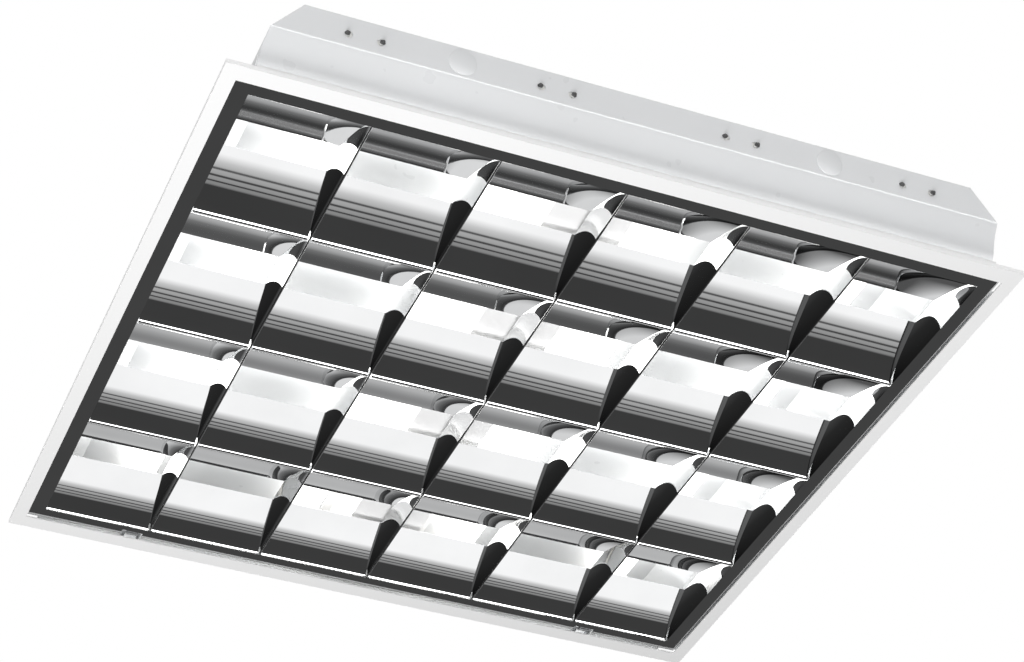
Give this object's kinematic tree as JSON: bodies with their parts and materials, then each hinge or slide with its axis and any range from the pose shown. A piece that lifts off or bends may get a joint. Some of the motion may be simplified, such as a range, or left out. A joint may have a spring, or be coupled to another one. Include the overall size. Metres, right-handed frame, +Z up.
{
  "type": "surface-mounted louvre light fixture",
  "caption": "Square ceiling light fixture with a shallow white tray, flanged bezel and a swing-down mirror louvre under straight tube lamps.",
  "frame": {"origin": "middle of the tray's back, on the ceiling plane", "axes": "+Z up into the ceiling, X across the lamps, Y along the lamps; -Y is the catch side and +Y the hinge side of the louvre"},
  "size_m": [0.595, 0.6228, 0.056],
  "materials": {
    "housing_white": "satin white powder coat",
    "bezel_white": "satin white powder coat",
    "louvre_mirror": "mirror-bright anodised",
    "lamp_glass": "white phosphor-coated glass",
    "cap_aluminium": "satin",
    "pin_brass": "bright",
    "holder_plastic": "fine matt",
    "terminal_plastic": "matt",
    "ballast_steel": "zinc-coated",
    "wire_insulation": "matt",
    "grommet_rubber": "matt",
    "screw_steel": "zinc-coated",
    "earth_brass": "bright",
    "spring_steel": "bright zinc"
  },
  "bodies": {
    "housing": {"tray": "housing_white", "end_plate_front": "housing_white", "end_plate_rear": "housing_white", "bezel_rail_front": "bezel_white", "bezel_rail_rear": "bezel_white", "bezel_rail_left": "bezel_white", "bezel_rail_right": "bezel_white", "cable_grommet": "grommet_rubber", "terminal_block": "terminal_plastic", "terminal_screws": "screw_steel", "earth_stud": "earth_brass", "ballast_front": "ballast_steel", "ballast_rear": "ballast_steel", "ballast_connectors": "terminal_plastic", "ballast_screws": "screw_steel", "gear_cover": "housing_white", "cover_screws": "screw_steel", "lampholders_front": "holder_plastic", "lampholders_rear": "holder_plastic", "harness_front": "wire_insulation", "harness_rear": "wire_insulation", "supply_leads": "wire_insulation", "cable_clips": "holder_plastic", "hinge_brackets": "spring_steel", "catch_springs": "spring_steel"},
    "louvre": {"louvre_edge_front": "louvre_mirror", "louvre_edge_rear": "louvre_mirror", "louvre_edge_left": "louvre_mirror", "louvre_edge_right": "louvre_mirror", "side_reflector_1": "louvre_mirror", "side_reflector_2": "louvre_mirror", "side_reflector_3": "louvre_mirror", "cross_blade_1": "louvre_mirror", "cross_blade_2": "louvre_mirror", "cross_blade_3": "louvre_mirror", "cross_blade_4": "louvre_mirror", "cross_blade_5": "louvre_mirror", "hinge_eyes": "spring_steel", "catch_tabs": "spring_steel"},
    "lamp_1": {"lamp_tube_1": "lamp_glass", "lamp_caps_1": "cap_aluminium", "lamp_pins_1": "pin_brass", "holder_rotors_1": "holder_plastic"},
    "lamp_2": {"lamp_tube_2": "lamp_glass", "lamp_caps_2": "cap_aluminium", "lamp_pins_2": "pin_brass", "holder_rotors_2": "holder_plastic"},
    "lamp_3": {"lamp_tube_3": "lamp_glass", "lamp_caps_3": "cap_aluminium", "lamp_pins_3": "pin_brass", "holder_rotors_3": "holder_plastic"},
    "lamp_4": {"lamp_tube_4": "lamp_glass", "lamp_caps_4": "cap_aluminium", "lamp_pins_4": "pin_brass", "holder_rotors_4": "holder_plastic"}
  },
  "joints": [
    {"name": "louvre_swing", "type": "hinge", "parent": "housing", "child": "louvre", "pos_m": [0, 0.2793, -0.0516], "axis": [1, 0, 0], "range_deg": [0, 90]},
    {"name": "lamp_1_twist", "type": "hinge", "parent": "housing", "child": "lamp_1", "pos_m": [-0.2076, 0, -0.0165], "axis": [0, 1, 0], "range_deg": [0, 90]},
    {"name": "lamp_2_twist", "type": "hinge", "parent": "housing", "child": "lamp_2", "pos_m": [-0.0692, 0, -0.0165], "axis": [0, 1, 0], "range_deg": [0, 90]},
    {"name": "lamp_3_twist", "type": "hinge", "parent": "housing", "child": "lamp_3", "pos_m": [0.0692, 0, -0.0165], "axis": [0, 1, 0], "range_deg": [0, 90]},
    {"name": "lamp_4_twist", "type": "hinge", "parent": "housing", "child": "lamp_4", "pos_m": [0.2076, 0, -0.0165], "axis": [0, 1, 0], "range_deg": [0, 90]}
  ]
}
